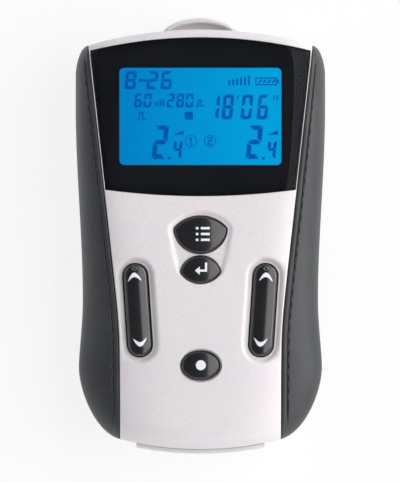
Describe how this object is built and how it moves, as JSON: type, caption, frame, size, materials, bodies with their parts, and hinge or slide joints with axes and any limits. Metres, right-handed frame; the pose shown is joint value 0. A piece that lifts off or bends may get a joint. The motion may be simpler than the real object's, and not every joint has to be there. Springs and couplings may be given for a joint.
{
  "type": "tens unit",
  "caption": "Hand-held nerve stimulator with a waisted pale housing, dark side grips, a blue display behind a black window, push keys, two rockers, a battery door and a belt clip.",
  "frame": {"origin": "on the surface the unit lies on, under the middle of its bounding box", "axes": "+Y towards the display end, along the length; +Z out of the front face; +X to the right as one reads the display"},
  "size_m": [0.0668, 0.1168, 0.0282],
  "materials": {
    "shell": "satin silver paint on moulded plastic",
    "grip": "fine matt soft-touch",
    "window": "high gloss",
    "mask": "screen print",
    "lcd": "lit display glass",
    "light_guide": "clear acrylic",
    "pale_plastic": "moulded",
    "elastomer": "matt",
    "board": "solder mask",
    "chip": "moulded epoxy",
    "capacitor": "sleeved can",
    "transformer": "taped winding",
    "socket": "moulded",
    "silicone": "matt",
    "key": "gloss",
    "cell": "printed sleeve",
    "spring_steel": "nickel plated",
    "screw_steel": "zinc plated"
  },
  "bodies": {
    "housing": {"front_shell": "shell", "rear_shell": "shell", "left_grip": "grip", "right_grip": "grip", "display_window": "window", "window_mask": "mask", "lcd_glass": "lcd", "lcd_backlight": "light_guide", "lcd_frame": "pale_plastic", "lcd_connector": "elastomer", "main_board": "board", "controller_chip": "chip", "capacitors": "capacitor", "output_transformers": "transformer", "buzzer": "chip", "output_sockets": "socket", "keypad_mat": "silicone", "p_key_dome": "silicone", "e_key_dome": "silicone", "dot_key_dome": "silicone", "left_rocker_domes": "silicone", "left_rocker_cradle": "pale_plastic", "right_rocker_domes": "silicone", "right_rocker_cradle": "pale_plastic", "battery_cells": "cell", "battery_springs": "spring_steel", "battery_contacts": "spring_steel", "clip_bracket": "shell", "clip_pin": "screw_steel", "clip_spring": "spring_steel", "housing_screws": "screw_steel", "board_screws": "screw_steel", "bracket_screws": "screw_steel"},
    "p_key": {"p_key": "key"},
    "e_key": {"e_key": "key"},
    "dot_key": {"dot_key": "key"},
    "left_rocker": {"left_rocker": "key"},
    "right_rocker": {"right_rocker": "key"},
    "battery_door": {"battery_door": "shell"},
    "belt_clip": {"belt_clip": "shell"}
  },
  "joints": [
    {"name": "p_key_press", "type": "slide", "parent": "housing", "child": "p_key", "axis": [0, 0, -1], "range_m": [0, 0.0006], "stiffness_N_per_m": 150, "springref_m": -0.0005, "deforming": ["p_key_dome"]},
    {"name": "e_key_press", "type": "slide", "parent": "housing", "child": "e_key", "axis": [0, 0, -1], "range_m": [0, 0.0006], "stiffness_N_per_m": 150, "springref_m": -0.0005, "deforming": ["e_key_dome"]},
    {"name": "dot_key_press", "type": "slide", "parent": "housing", "child": "dot_key", "axis": [0, 0, -1], "range_m": [0, 0.0006], "stiffness_N_per_m": 150, "springref_m": -0.0005, "deforming": ["dot_key_dome"]},
    {"name": "left_rocker_rock", "type": "hinge", "parent": "housing", "child": "left_rocker", "pos_m": [-0.01675, -0.0199, 0.02175], "axis": [0.9978, 0.0663, 0], "range_deg": [-3, 3], "stiffness_Nm_per_rad": 0.02, "deforming": ["left_rocker_domes"]},
    {"name": "right_rocker_rock", "type": "hinge", "parent": "housing", "child": "right_rocker", "pos_m": [0.01675, -0.0199, 0.02175], "axis": [0.9978, -0.0663, 0], "range_deg": [-3, 3], "stiffness_Nm_per_rad": 0.02, "deforming": ["right_rocker_domes"]},
    {"name": "battery_door_slide", "type": "slide", "parent": "housing", "child": "battery_door", "axis": [0, -1, 0], "range_m": [0, 0.058]},
    {"name": "belt_clip_hinge", "type": "hinge", "parent": "housing", "child": "belt_clip", "pos_m": [0, 0.0413, 0.0054], "axis": [1, 0, 0], "range_deg": [0, 12], "stiffness_Nm_per_rad": 0.06, "springref_deg": -20.05, "deforming": ["clip_spring"]}
  ]
}
